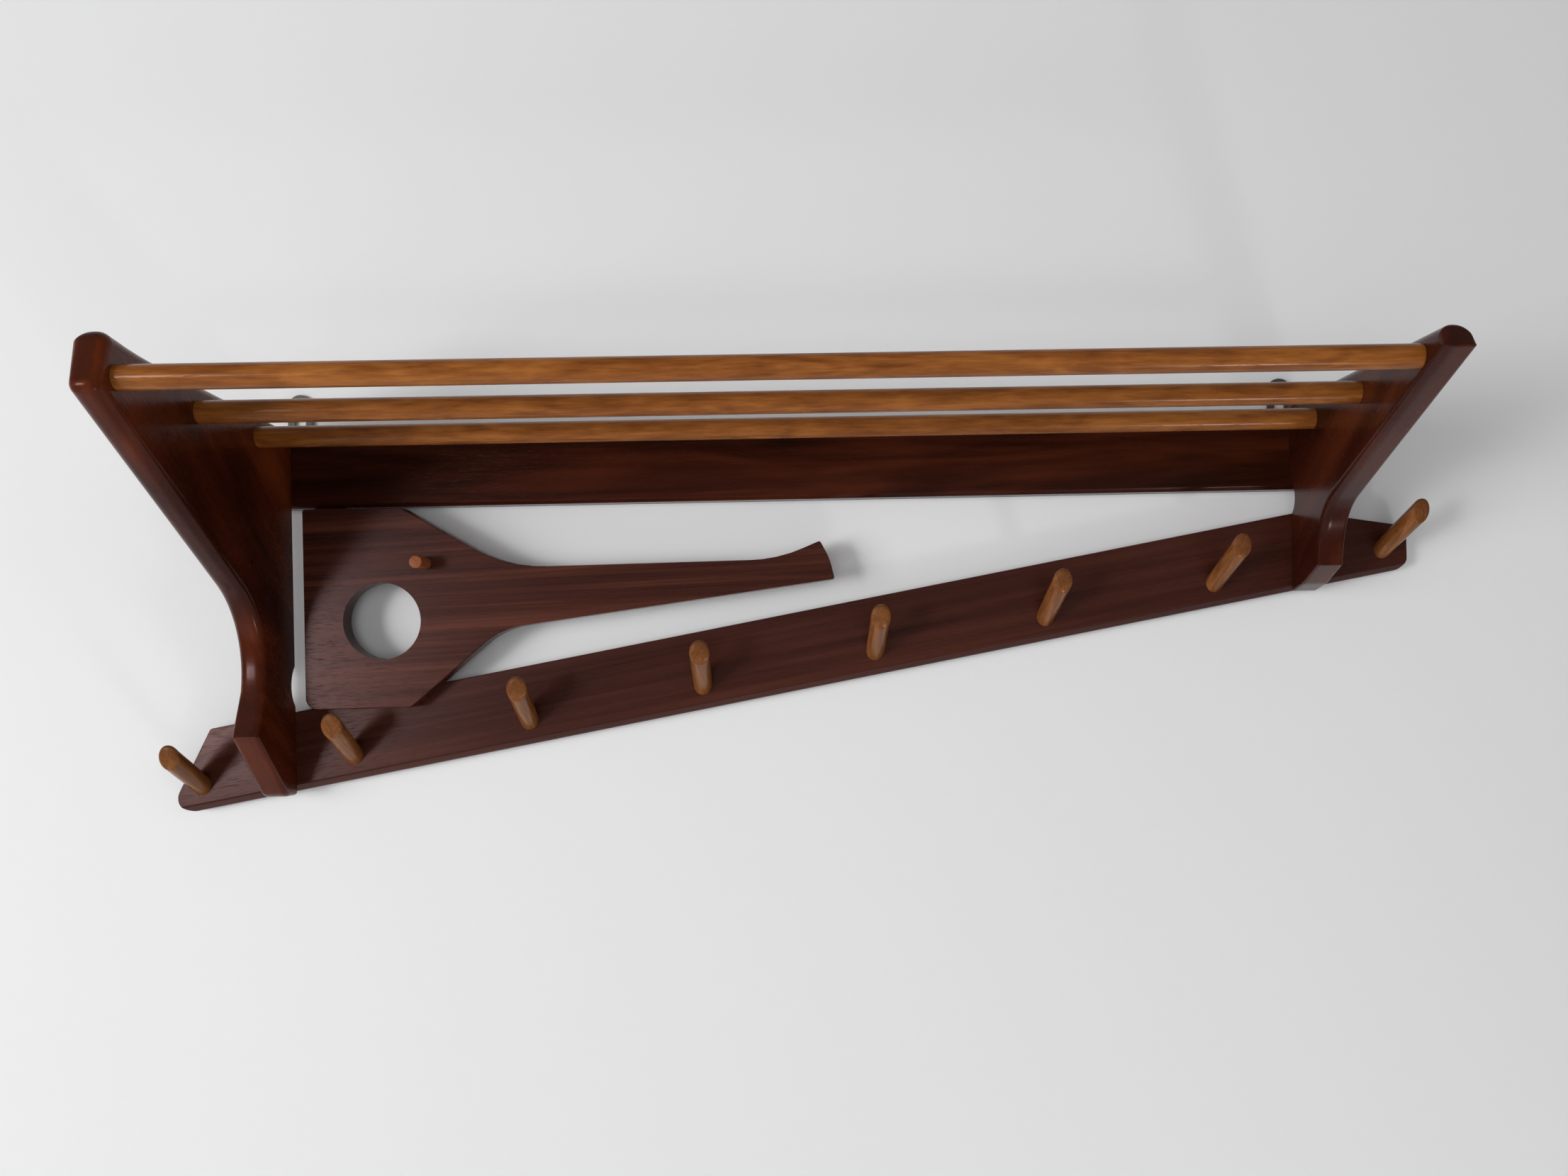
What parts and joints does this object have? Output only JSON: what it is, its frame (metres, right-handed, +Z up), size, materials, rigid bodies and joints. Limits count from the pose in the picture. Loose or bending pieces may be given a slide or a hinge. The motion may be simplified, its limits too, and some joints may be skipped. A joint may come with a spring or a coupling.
{
  "type": "wall coat rack",
  "caption": "Wall-hung wooden coat rack: shaped side brackets, a hat shelf of round rods, a level back rail, a slanted board of tilted dowel pegs and a bat-shaped panel.",
  "frame": {"origin": "on the wall plane, at the centre of the upper rail's back face", "axes": "+X to the viewer's right along the rack, +Y into the wall, +Z up"},
  "size_m": [0.9883, 0.2742, 0.3313],
  "materials": {
    "dark_wood": "satin, dark reddish brown",
    "rail_wood": "satin, very dark reddish brown",
    "board_wood": "satin, purple brown with fine grain",
    "panel_wood": "satin, reddish brown with fine level grain",
    "rod_wood": "satin, orange brown",
    "peg_wood": "satin, orange brown with greyer end grain",
    "hanger_steel": "zinc plated",
    "screw_steel": "zinc plated"
  },
  "bodies": {
    "root": {"left_bracket": "dark_wood", "right_bracket": "dark_wood", "front_rod": "rod_wood", "middle_rod": "rod_wood", "rear_rod": "rod_wood", "upper_rail": "rail_wood", "lower_board": "board_wood", "panel": "panel_wood", "panel_dowel": "peg_wood", "panel_batten": "rail_wood", "left_hanger": "hanger_steel", "right_hanger": "hanger_steel", "bracket_screws": "screw_steel", "panel_screws": "screw_steel", "hanger_screws": "screw_steel", "peg_1": "peg_wood", "peg_2": "peg_wood", "peg_3": "peg_wood", "peg_4": "peg_wood", "peg_5": "peg_wood", "peg_6": "peg_wood", "peg_7": "peg_wood", "peg_8": "peg_wood"}
  },
  "joints": []
}
